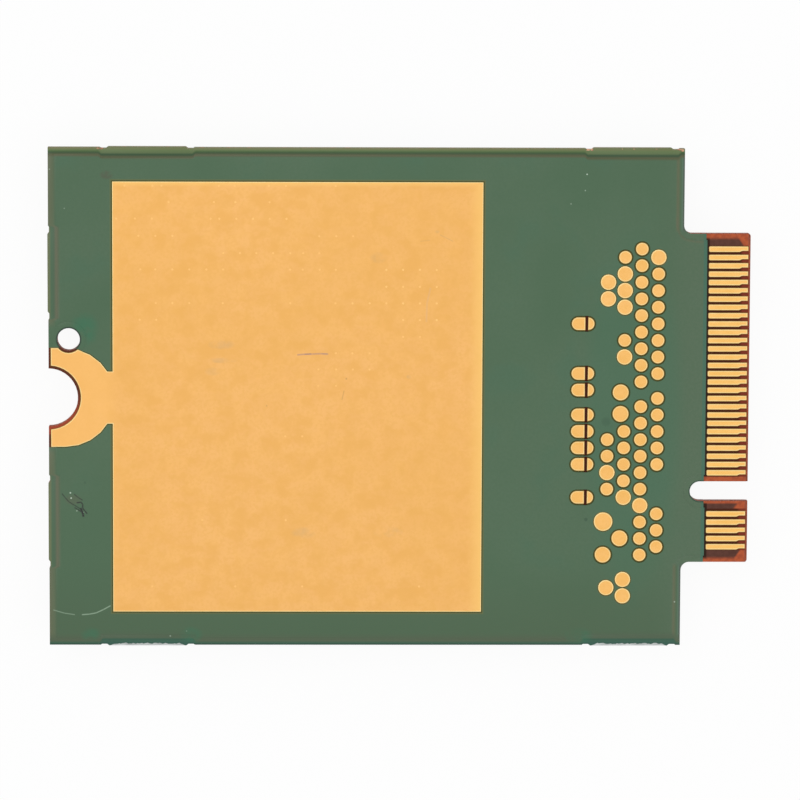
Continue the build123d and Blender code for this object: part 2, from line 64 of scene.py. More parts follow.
# Heights and edges read from the card
laminate_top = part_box("circuit_board")[1].z / MM
copper_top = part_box("ground_pad")[1].z / MM
mask_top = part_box("pad_side_solder_mask")[1].z / MM
mask_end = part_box("pad_side_solder_mask")[1].x / MM
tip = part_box("circuit_board")[1].x / MM
mount_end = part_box("component_side_solder_mask")[0].x / MM
card_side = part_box("circuit_board")[1].y / MM
pad_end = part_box("ground_pad")[1].x / MM
pad_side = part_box("ground_pad")[1].y / MM
contact_to_side = 0.49            # from the outermost contact to the tongue's side
tongue_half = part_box("odd_contacts")[1].y / MM + contact_to_side
tongue_length = 4.0
shoulder = tip - tongue_length
contact_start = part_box("even_contacts")[0].x / MM
neck = mount_end + 4.0            # where the ring round the notch meets the ground pad
ring_reach = 3.2                  # from the card's middle line to the ring's outer edge
film_thickness = 0.03             # mask over bare laminate
film_top = laminate_top + film_thickness
film_round_in = 0.012             # rounding of the film's edge, inwards and down
film_round_down = 0.008

# Edges of the mask, of its openings and of the gold
pour_edge = 0.40                  # from the card's edge to where the buried copper shows
tab_height = 0.04                 # how far a tab's stub stands out of the card's side
pour_flank = 0.06                 # how far the mask runs down beside the buried copper
flank_lift = 0.014                # how far that slope's hollow stays above the film
opening_round = 0.005             # rounding of the mask's edge at an opening
opening_steep = 0.02              # how far below the mask's top that rounding starts
plating_round = 0.03              # rounding of a gold edge, inwards and down
plating_round_down = 0.012
plating_rim = 0.045               # painted highlight band just inside a gold edge
contact_rim = 0.05                # the same painted highlight band on the contacts
contact_corner = 0.09             # radius of a contact's inner corners
key_slot_y = -5.625               # middle line of the key slot
key_slot_half = 0.6
key_slot_length = 3.5
key_slot_start = tip - key_slot_length
slit_middle = 11.215              # between the halves of the split pads
slit_half = 0.1
tab_half = 2.6                    # half the length of a tab
side_tabs = (-15.1, 13.9)         # middles of the tabs on the long sides
end_tabs = (-7.5, 7.5)            # middles of the tabs on the mounting end
tab_shift = 0.14                  # how much further in the copper looks beside a tab

# Worn stretches of the lower edge, where the tabs were broken off: start and end along X
worn_stretches = ((-17.35, -12.85), (11.65, 16.15))
wear_step = 0.09
wear_depth = 0.17
wear_least = 0.55                 # smallest depth as a share of the greatest
wear_fade = 16                    # a stretch's length over the length of its shallow ends
wear_jitter = 0.3                 # how far a point may stray along the edge, in steps

# Dimples over the ground pad's vias, where they show: rows of places as pixels of the frame
dimple_radius = 0.065
dimple_depth = 0.003
dimple_sides = 10
clear_dimples = (
    (270.1, (386.2, 403.0, 419.8, 436.6)),
    (287.0, (386.2, 403.0, 419.8, 436.6)),
    (303.6, (352.3, 369.5, 386.2, 403.0, 419.8, 436.6)),
    (320.2, (403.0, 419.8, 436.6)),
)
faint_dimples = (
    (186.5, (124.0, 152.0, 161.0, 218.5, 234.3, 268.6, 285.5, 335.5)),
    (202.8, (168.2, 213.6, 235.0, 269.2)),
    (219.4, (115.6, 134.6, 151.4, 210.3, 219.0, 236.0, 252.7, 269.4, 286.2)),
    (236.6, (138.0, 155.0, 172.0, 319.0, 336.0, 352.9)),
    (253.6, (223.0, 239.6, 256.0, 272.8, 290.0, 303.0, 319.0)),
    (270.1, (140.0, 155.0, 172.0, 189.0, 206.0, 222.8, 289.8, 302.5, 319.4, 335.6)),
    (303.6, (155.4, 172.0, 189.0, 222.4, 290.0, 335.2)),
    (320.4, (139.4, 156.0)),
    (337.0, (403.0, 419.8)),
    (353.5, (335.6, 352.2, 369.5)),
    (369.7, (318.2, 335.9, 352.6, 369.4)),
    (386.0, (318.0, 335.8)),
    (436.5, (285.0, 302.0)),
    (520.2, (202.0, 285.5)),
    (586.4, (152.0, 235.0, 302.0, 419.0)),
)

# Round openings of the board: middle and radius
tooling_hole = (-19.8, 3.5, 0.675)
key_slot_middle = (key_slot_start + key_slot_half, key_slot_y)

# Where places on the pad side show in the 800 by 800 frame
pixels_per_mm = 16.7
middle_u, middle_v = 399.2, 398.2
lean = 4.14e-4                    # how much the frame narrows for each millimetre downwards
skew = 0.103                      # pixels that a place shows further left for each millimetre upwards

# Tints of the film along the card's sides: how far inside the buried copper, and the colour; partly the
# film's own colour, thin over the copper's edge, and partly painted shade along the copper's step and painted
# light that differs by side
shoulder_tints = (
    (-0.34, (88, 100, 90)), (-0.28, (96, 119, 101)), (-0.18, (86, 109, 86)), (-0.02, (104, 111, 88)),
)
end_tints = (
    (-0.50, (106, 110, 90)), (-0.42, (112, 118, 95)), (-0.28, (107, 113, 91)), (-0.10, (100, 111, 88)),
)
end_tab_tints = (
    (-0.50, (113, 121, 92)), (-0.38, (86, 111, 88)), (-0.22, (88, 108, 88)), (-0.10, (107, 111, 92)),
)
lower_tints = ((-0.36, (58, 84, 72)), (-0.28, (71, 101, 84)), (-0.15, (90, 103, 84)))
lower_tab_tints = (
    (-0.40, (66, 98, 86)), (-0.32, (72, 103, 88)), (-0.20, (68, 98, 82)), (-0.10, (88, 103, 84)),
)
upper_tints = (
    (-0.34, (120, 123, 88)), (-0.26, (102, 119, 81)), (-0.18, (82, 104, 69)), (-0.11, (70, 90, 66)),
    (0.03, (97, 99, 77)),
)
upper_tab_tints = (
    (-0.46, (114, 122, 86)), (-0.38, (104, 122, 84)), (-0.24, (99, 115, 82)), (-0.12, (64, 86, 66)),
    (0.02, (95, 99, 76)),
)
tongue_reach = 10.1               # half the length of the shoulder that the tongue takes up

# What only the pad side's mask shows, as pixels of the frame
green_clouds = (                  # u, v, radii in millimetres, strength
    (84, 330, 1.0, 1.3, 0.6), (91, 635, 0.7, 0.6, 0.5), (191, 635, 0.8, 0.6, 0.5), (579, 636, 1.0, 0.6, 0.5),
)
pale_scratches = (                # points, half width in millimetres, strength
    (((53.3, 610.1), (64.5, 613.2), (74.7, 614.7)), 0.022, 0.6),
    (((81.8, 614.7), (89.0, 614.2), (96.1, 612.9), (103.3, 609.6), (110.4, 605.7)), 0.028, 0.75),
)
scribble = (
    (((61.8, 493.9), (64.8, 497.7), (68.7, 502.1), (74.4, 505.6), (80.0, 509.0)), 0.022),
    (((80.3, 508.3), (81.8, 511.3), (83.0, 514.8), (83.2, 517.0)), 0.06),
    (((73.9, 494.4), (77.9, 497.8), (82.5, 500.6)), 0.022),
    (((76.5, 503.1), (80.9, 502.5), (82.6, 504.8), (82.4, 508.3), (84.7, 511.3), (87.0, 514.0)), 0.035),
    (((74.4, 507.9), (77.1, 509.4), (81.3, 512.1)), 0.028),
)
pale_specks = (                   # u, v, radius in millimetres, strength
    (70.2, 493.2, 0.06, 0.9), (71.0, 498.4, 0.06, 0.9), (76.7, 511.1, 0.06, 0.4), (83.6, 512.5, 0.04, 0.3),
    (64.0, 209.4, 0.05, 0.3), (49.0, 170.4, 0.05, 0.4), (587.4, 174.2, 0.055, 0.9), (585.6, 190.4, 0.05, 0.5),
    (571.3, 203.8, 0.06, 0.3), (170.1, 636.0, 0.06, 0.4), (186.4, 631.0, 0.05, 0.2),
    (675.2, 601.6, 0.06, 0.5),
)
dark_specks = (
    (606.5, 421.5, 0.35, 0.25), (586.2, 519.3, 0.14, 0.5), (84.8, 483.0, 0.10, 0.3),
)
shoulder_bend = (
    (677.8, 217.0), (678.2, 227.0), (680.6, 234.4), (686.5, 239.4), (696.0, 241.4), (704.0, 241.6),
)

# What shows on the ground pad, as pixels of the frame
gold_smudges = (                  # u, v, radii in millimetres, strength
    (221, 345, 0.9, 0.36, 0.35), (222, 361, 1.0, 0.20, 0.4), (213, 372, 0.6, 0.30, 0.2),
    (304, 533, 0.9, 0.40, 0.35), (388, 532, 1.0, 0.40, 0.35), (378, 258, 0.6, 0.40, 0.25),
    (409, 377, 0.2, 0.15, 0.5), (437, 232, 0.2, 0.12, 0.5),
)
gold_scratches = (                # points, half width in millimetres, strength, colour
    (((297.0, 355.2), (304.0, 354.6), (312.0, 354.4), (320.0, 354.0), (328.0, 354.4)),
     0.045, 0.7, (190, 150, 132)),
    (((304.0, 354.6), (311.0, 354.2)), 0.03, 0.5, (140, 118, 128)),
    (((322.0, 354.2), (327.0, 354.2)), 0.02, 0.5, (150, 128, 130)),
    (((440.0, 235.0), (446.0, 238.0), (453.0, 241.5)), 0.02, 0.5, (206, 166, 118)),
    (((420.0, 241.5), (430.0, 240.5)), 0.02, 0.35, (206, 164, 114)),
    (((430.5, 288.0), (427.0, 303.0), (426.3, 322.0)), 0.05, 0.35, (226, 184, 140)),
    (((343.9, 390.8), (341.8, 400.0)), 0.025, 0.5, (190, 148, 96)),
    (((345.4, 379.0), (346.8, 379.0)), 0.05, 0.5, (176, 136, 90)),
    (((265.8, 406.1), (266.9, 406.1)), 0.05, 0.4, (186, 142, 92)),
    (((483.2, 254.5), (484.6, 254.5)), 0.03, 0.8, (120, 92, 50)),
    (((483.2, 234.5), (484.6, 234.5)), 0.03, 0.6, (120, 92, 50)),
)

# Finishes of the hidden parts: two colours, roughness, metallic, scale of the grain, stretch, relief
even, brushed = (1.0, 1.0, 1.0), (0.35, 6.0, 6.0)
hidden_finishes = {
    "solder": ((196, 198, 202), (222, 223, 226), 0.3, 1.0, 3.0),
    "shield_metal": ((202, 198, 188), (212, 208, 198), 0.34, 1.0, 0.8, brushed, 0.002),
    "thermal_pad": ((150, 162, 176), (166, 178, 190), 0.85, 0.0, 2.0),
    "receptacle_moulding": ((226, 216, 192), (234, 226, 204), 0.5, 0.0, 3.0),
    "receptacle_metal": ((222, 186, 116), (236, 202, 132), 0.28, 1.0, 4.0),
    "chip_moulding": ((40, 40, 42), (54, 54, 56), 0.6, 0.0, 6.0, even, 0.01),
    "filter_lid": ((206, 198, 178), (222, 214, 196), 0.32, 1.0, 3.0, brushed),
    "ferrite": ((92, 93, 96), (110, 110, 112), 0.7, 0.0, 5.0, even, 0.01),
    "capacitor_ceramic": ((160, 132, 104), (178, 150, 120), 0.45, 0.0, 4.0),
    "resistor_ceramic": ((52, 52, 56), (74, 74, 78), 0.4, 0.0, 4.0),
}

# Crumbs of resin on the upper edge: place along X, half length, half width
crumb_spots = (
    (-18.0, 0.16, 0.06), (-17.8, 0.13, 0.07), (11.20, 0.16, 0.08), (11.45, 0.18, 0.09), (13.25, 0.08, 0.03),
    (13.95, 0.09, 0.03), (15.3, 0.08, 0.03), (16.68, 0.14, 0.06), (16.85, 0.13, 0.10),
)
crumb_half_height = 0.05
crumb_sunk = 0.035                # middle of a crumb below the film's top
crumb_unevenness = 0.35

# Light and camera
lamps = (                         # name, place in metres, size in metres, power in watts
    ("key", (-0.25, 0.30, 0.60), 0.5, 0.7),
    ("fill", (0.45, -0.25, 0.50), 0.5, 0.3),
)
room_level = 0.86                 # strength of the surroundings where they only light the card
floor_tone = 0.86
floor_glow = 0.93                 # how much of the floor's colour is plain white where it is seen
floor_reach = 1.2                 # half the floor's side in metres
camera_place = (-6.27, 35.76, 296.04)
camera_back = (-0.02132, 0.12121, 0.99240)
camera_up = (-0.00145, 0.99262, -0.12127)
camera_lens = 222.1
film_gloss = 0.042                # what the room's light on a film's gloss adds to its colour
lamp_gain = 1.07                  # what the lamps add to the room's light on metal

dice = random.Random(7)


def srgb(red, green, blue):
    """A screen colour of 0 to 255 as the linear colour that a shader takes."""
    def linear(value):
        share = value / 255
        return share / 12.92 if share <= 0.04045 else ((share + 0.055) / 1.055) ** 2.4
    return linear(red), linear(green), linear(blue), 1.0


def lacquer(red, green, blue):
    """The colour under a film's gloss that makes it look as written."""
    return (*(max(value - film_gloss, 0.002) for value in srgb(red, green, blue)[:3]), 1.0)


def metal(red, green, blue):
    """The colour of a metal that looks as written under the lamps."""
    return (*(value / lamp_gain for value in srgb(red, green, blue)[:3]), 1.0)


# Outlines

def loops_at(node, height):
    """Closed outlines of a node's upward faces at one height, each with its material on the left."""
    mesh = frame["nodes"][node].data
    places = [tuple(round(value / MM, 3) for value in vertex.co) for vertex in mesh.vertices]
    edges = {}
    for polygon in mesh.polygons:
        corners = [places[i] for i in polygon.vertices]
        if polygon.normal.z < 0.5 or any(abs(z - height) > LEVEL for _, _, z in corners):
            continue
        for a, b in zip(corners, corners[1:] + corners[:1]):
            edges[a[:2], b[:2]] = True
    follow = {a: b for a, b in edges if (b, a) not in edges}
    loops = []
    while follow:
        start, point = follow.popitem()
        loop = [start]
        while point != start:
            loop.append(point)
            point = follow.pop(point)
        loops.append(loop)
    return sorted(loops)


def turn_at(a, b, c):
    """Signed turn in radians at b on the way from a to c."""
    before = math.atan2(b[1] - a[1], b[0] - a[0])
    after = math.atan2(c[1] - b[1], c[0] - b[0])
    return (after - before + math.pi) % (2 * math.pi) - math.pi


def rounded(loop, largest_turn=math.radians(40), step=math.radians(16)):
    """The loop with every run of equal short sides laid on its circle."""
    count = len(loop)
    result = []
    for i in range(count):
        a, b, c, d = (loop[(i + k) % count] for k in (-1, 0, 1, 2))
        side = math.dist(b, c)
        result.append(b)
        turn = 0.0
        for other, angle in ((math.dist(a, b), turn_at(a, b, c)), (math.dist(c, d), turn_at(b, c, d))):
            if abs(other - side) < 0.03 * side and math.radians(2) < abs(angle) < largest_turn:
                turn = angle
        parts = math.ceil(abs(turn) / step)
        if parts < 2:
            continue
        middle = Vector(b).lerp(Vector(c), 0.5)
        along = (Vector(c) - Vector(b)).normalized()
        left = Vector((-along.y, along.x))
        centre = middle + left * (side / 2) / math.tan(turn / 2)
        arm = Vector(b) - centre
        for k in range(1, parts):
            point = centre + Matrix.Rotation(turn * k / parts, 2) @ arm
            result.append((point.x, point.y))
    return result


def filleted(loop, radius_at, parts=5):
    """The loop with its sharp corners rounded; radius_at gives the radius for a corner."""
    count = len(loop)
    result = []
    for i in range(count):
        a, b, c = (Vector(loop[(i + k) % count]) for k in (-1, 0, 1))
        radius = radius_at(b)
        turn = turn_at(a, b, c)
        if radius == 0 or abs(turn) < math.radians(50):
            result.append((b.x, b.y))
            continue
        reach = radius * math.tan(abs(turn) / 2)
        start = b + (a - b).normalized() * reach
        end = b + (c - b).normalized() * reach
        along = (b - a).normalized()
        left = Vector((-along.y, along.x)) * math.copysign(1, turn)
        centre = start + left * radius
        for k in range(parts + 1):
            point = centre + Matrix.Rotation(turn * k / parts, 2) @ (start - centre)
            result.append((point.x, point.y))
        result[-1] = (end.x, end.y)
    return result


def inset(loop, distance):
    """The loop moved to its left by a small distance, with its corners kept."""
    if distance == 0:
        return loop
    count = len(loop)
    result = []
    for i in range(count):
        a, b, c = (Vector(loop[(i + k) % count]) for k in (-1, 0, 1))
        before = (b - a).normalized()
        after = (c - b).normalized()
        left = Vector((-before.y, before.x)) + Vector((-after.y, after.x))
        shift = left * distance / max(left.dot(left) / 2, 0.3)
        result.append((b.x + shift.x, b.y + shift.y))
    return result


def without_steps(loop, smallest=0.06):
    """The loop without sides that are too short to show."""
    return [point for i, point in enumerate(loop) if math.dist(loop[i - 1], point) > smallest]


def worn(loop):
    """The film's outline, eaten back along the stretches where tabs were broken off."""
    result = []
    count = len(loop)
    for i in range(count):
        a, b = loop[i], loop[(i + 1) % count]
        result.append(a)
        if max(a[1], b[1]) > -card_side + 0.02 or b[0] < a[0]:
            continue
        for start, end in worn_stretches:
            if a[0] > start or b[0] < end:
                continue
            steps = int((end - start) / wear_step)
            for k in range(steps + 1):
                share = k / steps
                fade = min(1.0, wear_fade * min(share, 1 - share))
                depth = wear_depth * fade * (wear_least + (1 - wear_least) * dice.random())
                x = start + share * (end - start) + wear_step * wear_jitter * (dice.random() - 0.5)
                result.append((x, a[1] + depth))
    return result


# Meshes

def cap(bm, rings, upward):
    """Fills the region to the left of closed rings of vertices with flat triangles."""
    corners = [vertex for ring in rings for vertex in ring]
    edges = []
    for ring in rings:
        first = len(edges)
        edges += [(first + i, first + (i + 1) % len(ring)) for i in range(len(ring))]
    flat = [Vector((vertex.co.x / MM, vertex.co.y / MM)) for vertex in corners]
    triangles = delaunay_2d_cdt(flat, edges, [], 1, 1e-6)
    source = [ids[0] for ids in triangles[3]]
    faces = [tuple(source[i] for i in face) for face in triangles[2]]
    for face in inside_faces(faces, set(edges)):
        bm.faces.new([corners[i] for i in (face if upward else reversed(face))])


def inside_faces(faces, borders):
    """The faces to the left of the border edges, found by spreading out from those edges."""
    by_edge = {}
    for face in faces:
        for edge in zip(face, face[1:] + face[:1]):
            by_edge[edge] = face
    waiting = [by_edge[edge] for edge in sorted(borders)]
    found = set(waiting)
    while waiting:
        face = waiting.pop()
        for a, b in zip(face, face[1:] + face[:1]):
            beyond = by_edge.get((b, a))
            if (a, b) not in borders and beyond and beyond not in found:
                found.add(beyond)
                waiting.append(beyond)
    return sorted(found)


def add_sides(bm, loop, profile, slot_of):
    """Bands up the sides of one outline, between (inset, height) pairs; returns the end rings.

    slot_of gives the material number of a face from its middle and its band's number."""
    rings = []
    for distance, height in profile:
        rings.append([bm.verts.new((x * MM, y * MM, height * MM)) for x, y in inset(loop, distance)])
    for band, (low, high) in enumerate(zip(rings, rings[1:])):
        for i in range(len(loop)):
            face = bm.faces.new((low[i - 1], low[i], high[i], high[i - 1]))
            face.material_index = slot_of(Vector(loop[i - 1]).lerp(Vector(loop[i]), 0.5), band)
    return rings[0], rings[-1]


def add_shell(bm, loops, profile, slot_of, pits=()):
    """A closed flat piece, with dimples in its upper face."""
    ends = [add_sides(bm, loop, profile, slot_of) for loop in loops]
    dimple_rims = [add_pit(bm, x, y, profile[-1][1], slot) for x, y, slot in pits]
    cap(bm, [top for _, top in ends] + dimple_rims, True)
    cap(bm, [bottom for bottom, _ in ends], False)


def add_pit(bm, x, y, height, slot):
    """A shallow dimple; returns its rim, which the face around it joins."""
    rings = []
    for share, sink in ((1.0, 0.0), (0.6, 0.7)):
        ring = []
        for k in range(dimple_sides):
            angle = -2 * math.pi * k / dimple_sides
            reach = share * dimple_radius
            spot = (x + reach * math.cos(angle), y + reach * math.sin(angle), height - sink * dimple_depth)
            ring.append(bm.verts.new(Vector(spot) * MM))
        rings.append(ring)
    floor = bm.verts.new(Vector((x, y, height - dimple_depth)) * MM)
    outer, inner = rings
    for k in range(dimple_sides):
        bm.faces.new((outer[k - 1], outer[k], inner[k], inner[k - 1])).material_index = slot
        bm.faces.new((inner[k - 1], inner[k], floor)).material_index = slot
    return outer


def placed(name, data):
    """A new object in the scene."""
    made = bpy.data.objects.new(name, data)
    bpy.context.scene.collection.objects.link(made)
    return made


def piece_from(bm, name, materials, replaced=()):
    """Turns finished mesh data into a named piece that rides on the card."""
    mesh = bpy.data.meshes.new(name)
    bm.to_mesh(mesh)
    bm.free()
    for material in materials:
        mesh.materials.append(material)
    mesh.shade_smooth()
    mesh.set_sharp_from_angle(angle=math.radians(35))
    piece = placed(name, mesh)
    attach(piece, "root")
    if replaced:
        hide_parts(*replaced)
    return piece


# Materials

class Look:
    """A procedural material whose places are in millimetres in the card's own frame."""

    def __init__(self, name, roughness, metallic=0.0, specular=0.5):
        self.material = bpy.data.materials.new(name)
        self.material.use_nodes = True
        tree = self.material.node_tree
        self.nodes, self.links = tree.nodes, tree.links
        self.shader = self.nodes["Principled BSDF"]
        self.shader.inputs["Roughness"].default_value = roughness
        self.shader.inputs["Metallic"].default_value = metallic
        self.shader.inputs["Specular IOR Level"].default_value = specular
        source = self.nodes.new("ShaderNodeTexCoord").outputs["Object"]
        scale = self.nodes.new("ShaderNodeMapping")
        scale.inputs["Scale"].default_value = (1 / MM, 1 / MM, 1 / MM)
        self.links.new(source, scale.inputs["Vector"])
        self.place = scale.outputs["Vector"]
        split = self.nodes.new("ShaderNodeSeparateXYZ")
        self.links.new(self.place, split.inputs[0])
        self.x, self.y, self.z = split.outputs

    def feed(self, socket, value):
        """Links an output to a socket, or sets a plain value on it."""
        if isinstance(value, bpy.types.NodeSocket):
            self.links.new(value, socket)
        else:
            socket.default_value = value

    def math(self, operation, a, b=0.0):
        """Output of one Math node."""
        node = self.nodes.new("ShaderNodeMath")
        node.operation = operation
        self.feed(node.inputs[0], a)
        self.feed(node.inputs[1], b)
        return node.outputs[0]

    def ramp(self, value, low, high):
        """0 at low, 1 at high, smooth between."""
        if low > high:
            return self.outside(self.ramp(value, high, low))
        node = self.nodes.new("ShaderNodeMapRange")
        node.interpolation_type = "SMOOTHSTEP"
        self.feed(node.inputs["Value"], value)
        node.inputs["From Min"].default_value = low
        node.inputs["From Max"].default_value = high
        return node.outputs["Result"]

    def window(self, value, low, high, soft):
        """1 between low and high, falling off over the soft distance."""
        rise = self.ramp(value, low - soft, low + soft)
        return self.product(rise, self.ramp(value, high + soft, high - soft))

    def noise(self, scale, detail, stretch=even):
        place = self.place
        if stretch != even:
            mapping = self.nodes.new("ShaderNodeMapping")
            mapping.inputs["Scale"].default_value = stretch
            self.links.new(self.place, mapping.inputs["Vector"])
            place = mapping.outputs["Vector"]
        node = self.nodes.new("ShaderNodeTexNoise")
        self.links.new(place, node.inputs["Vector"])
        node.inputs["Scale"].default_value = scale
        node.inputs["Detail"].default_value = detail
        return node.outputs["Fac"]

    def mix(self, share, a, b):
        node = self.nodes.new("ShaderNodeMix")
        node.data_type = "RGBA"
        self.feed(node.inputs[0], share)
        self.feed(node.inputs[6], a)
        self.feed(node.inputs[7], b)
        return node.outputs[2]

    def gradient(self, value, stops):
        """A colour that changes along a value; stops are (value, colour) pairs in rising order."""
        low, high = stops[0][0], stops[-1][0]
        share = self.nodes.new("ShaderNodeMapRange")
        self.links.new(value, share.inputs["Value"])
        share.inputs["From Min"].default_value = low
        share.inputs["From Max"].default_value = high
        node = self.nodes.new("ShaderNodeValToRGB")
        self.links.new(share.outputs["Result"], node.inputs["Fac"])
        elements = node.color_ramp.elements
        elements[0].color = stops[0][1]
        elements[1].color = stops[-1][1]
        for place, colour in stops[1:-1]:
            elements.new((place - low) / (high - low)).color = colour
        return node.outputs["Color"]

    def stroke(self, points, half_width, soft):
        """1 on a thin line through points given as (x, y), 0 away from it."""
        mask = None
        for (x0, y0), (x1, y1) in zip(points, points[1:]):
            length = math.dist((x0, y0), (x1, y1))
            ux, uy = (x1 - x0) / length, (y1 - y0) / length
            dx = self.math("SUBTRACT", self.x, x0)
            dy = self.math("SUBTRACT", self.y, y0)
            along = self.math("ADD", self.share(dx, ux), self.share(dy, uy))
            across = self.math("SUBTRACT", self.share(dx, uy), self.share(dy, ux))
            near = self.window(across, -half_width, half_width, soft)
            part = self.product(near, self.window(along, 0.0, length, soft))
            mask = part if mask is None else self.math("MAXIMUM", mask, part)
        return mask

    def reach(self, x, y, to_the_right=False):
        """Distance from a point, or from the line that runs to the right from it."""
        dx = self.math("SUBTRACT", self.x, x)
        if to_the_right:
            dx = self.math("MINIMUM", dx, 0.0)
        dy = self.math("SUBTRACT", self.y, y)
        return self.math("SQRT", self.math("ADD", self.product(dx, dx), self.product(dy, dy)))

    def blob(self, x, y, radius_x, radius_y, soft=0.6):
        """1 in the middle of an oval patch, 0 outside it."""
        dx = self.math("DIVIDE", self.math("SUBTRACT", self.x, x), radius_x)
        dy = self.math("DIVIDE", self.math("SUBTRACT", self.y, y), radius_y)
        square = self.math("ADD", self.product(dx, dx), self.product(dy, dy))
        return self.ramp(square, 1.0, 1.0 - soft)

    def share(self, mask, amount):
        return self.math("MULTIPLY", mask, amount)

    def product(self, first, *others):
        """1 only where every mask is 1."""
        for other in others:
            first = self.math("MULTIPLY", first, other)
        return first

    def outside(self, mask):
        """1 where the mask is 0."""
        return self.math("SUBTRACT", 1.0, mask)

    def over(self, base, mask, colour, strength):
        """The base with a colour laid over it where the mask is 1."""
        return self.mix(self.share(mask, strength), base, colour)

    def colour(self, value):
        self.feed(self.shader.inputs["Base Color"], value)

    def roughness(self, value, low, high):
        """Roughness from low to high over a value of 0 to 1."""
        node = self.nodes.new("ShaderNodeMapRange")
        self.links.new(value, node.inputs["Value"])
        node.inputs["To Min"].default_value = low
        node.inputs["To Max"].default_value = high
        self.links.new(node.outputs["Result"], self.shader.inputs["Roughness"])

    def bump(self, height, distance, strength):
        node = self.nodes.new("ShaderNodeBump")
        node.inputs["Strength"].default_value = strength
        node.inputs["Distance"].default_value = distance * MM
        self.links.new(height, node.inputs["Height"])
        self.links.new(node.outputs["Normal"], self.shader.inputs["Normal"])


def photo_place(u, v):
    """Place on the pad side that shows at a pixel of the 800 by 800 frame."""
    y = (middle_v - v) / pixels_per_mm
    width = 1 - lean * y
    return (u * width - middle_u + skew * y) / pixels_per_mm, (middle_v - v * width) / pixels_per_mm


def photo_line(pixels):
    return [photo_place(u, v) for u, v in pixels]


def green_film(look):
    """The mask's clouded green, a little darker towards the lower edge and lighter towards the tongue."""
    cloud = look.ramp(look.noise(0.16, 4.0), 0.35, 0.65)
    green = look.mix(cloud, lacquer(86, 111, 88), lacquer(91, 114, 92))
    for mask, colour, strength in (
            (look.ramp(look.noise(0.33, 3.0), 0.52, 0.72), (82, 113, 92), 0.5),
            (look.ramp(look.y, -9.0, -14.5), (85, 105, 83), 0.8),
            (look.ramp(look.x, 15.0, 17.8), (96, 114, 94), 0.7),
            (look.ramp(look.noise(6.0, 5.0), 0.3, 0.7), (84, 109, 86), 0.35)):
        green = look.over(green, mask, lacquer(*colour), strength)
    return green


def beside_tabs(look, along, tabs):
    """1 along the stretches beside the tabs, 0 elsewhere."""
    reach = tab_half + 0.2
    spans = [look.window(along, middle - reach, middle + reach, 0.12) for middle in tabs]
    return look.math("ADD", *spans)


def film_gradient(look, value, stops):
    return look.gradient(value, [(place, lacquer(*colour)) for place, colour in stops])


def edge_tint(look, green, across, along, edge, tabs, shift, fade, plain, tab):
    """Tints the film along one side, with stops of their own beside the tabs."""
    beside = beside_tabs(look, along, tabs)
    inside = look.math("SUBTRACT", look.math("SUBTRACT", edge, across), look.share(beside, shift))
    colour = look.mix(beside, film_gradient(look, inside, plain), film_gradient(look, inside, tab))
    return look.mix(look.ramp(inside, fade, plain[-1][0]), green, colour)


def edge_colours_and_painted_shade(look, green):
    """The film's colours along the card's edges, where it runs down over the copper's edge: its own colours
    there, with painted shade along the copper's step and painted light that differs by side.
    """
    side = card_side - tab_height - pour_edge
    minus_x, minus_y = look.share(look.x, -1.0), look.share(look.y, -1.0)
    inside = look.math("SUBTRACT", shoulder - pour_edge, look.x)
    right = film_gradient(look, inside, shoulder_tints)
    off_tongue = look.outside(look.window(look.y, -tongue_reach, tongue_reach, 0.2))
    share = look.product(look.ramp(inside, 0.17, -0.02), off_tongue)
    green = look.mix(share, green, right)

    off_ring = look.outside(look.window(look.y, -ring_reach, tooling_hole[1] + 0.9, 0.3))
    end = -mount_end - pour_edge + 0.05
    left = edge_tint(look, green, minus_x, look.y, end, end_tabs, 0.25, 0.2, end_tints, end_tab_tints)
    green = look.mix(off_ring, green, left)
    for across, fade, plain, tab in (
            (minus_y, 0.4, lower_tints, lower_tab_tints), (look.y, 0.2, upper_tints, upper_tab_tints)):
        green = edge_tint(look, green, across, look.x, side, side_tabs, tab_shift, fade, plain, tab)
    return green


def mask_look(name, pad_side):
    """Green solder mask, tinted along the card's edges, partly with painted shade and light."""
    look = Look(name, 0.42)
    green = edge_colours_and_painted_shade(look, green_film(look))
    if pad_side:
        green = mark_mask(look, green)
    look.colour(green)
    weave = look.math("ADD", look.noise(2.2, 3.0), look.share(look.noise(14.0, 2.0), 0.25))
    look.bump(weave, 0.006, 0.5)
    look.roughness(look.noise(3.0, 4.0), 0.34, 0.52)
    return look.material


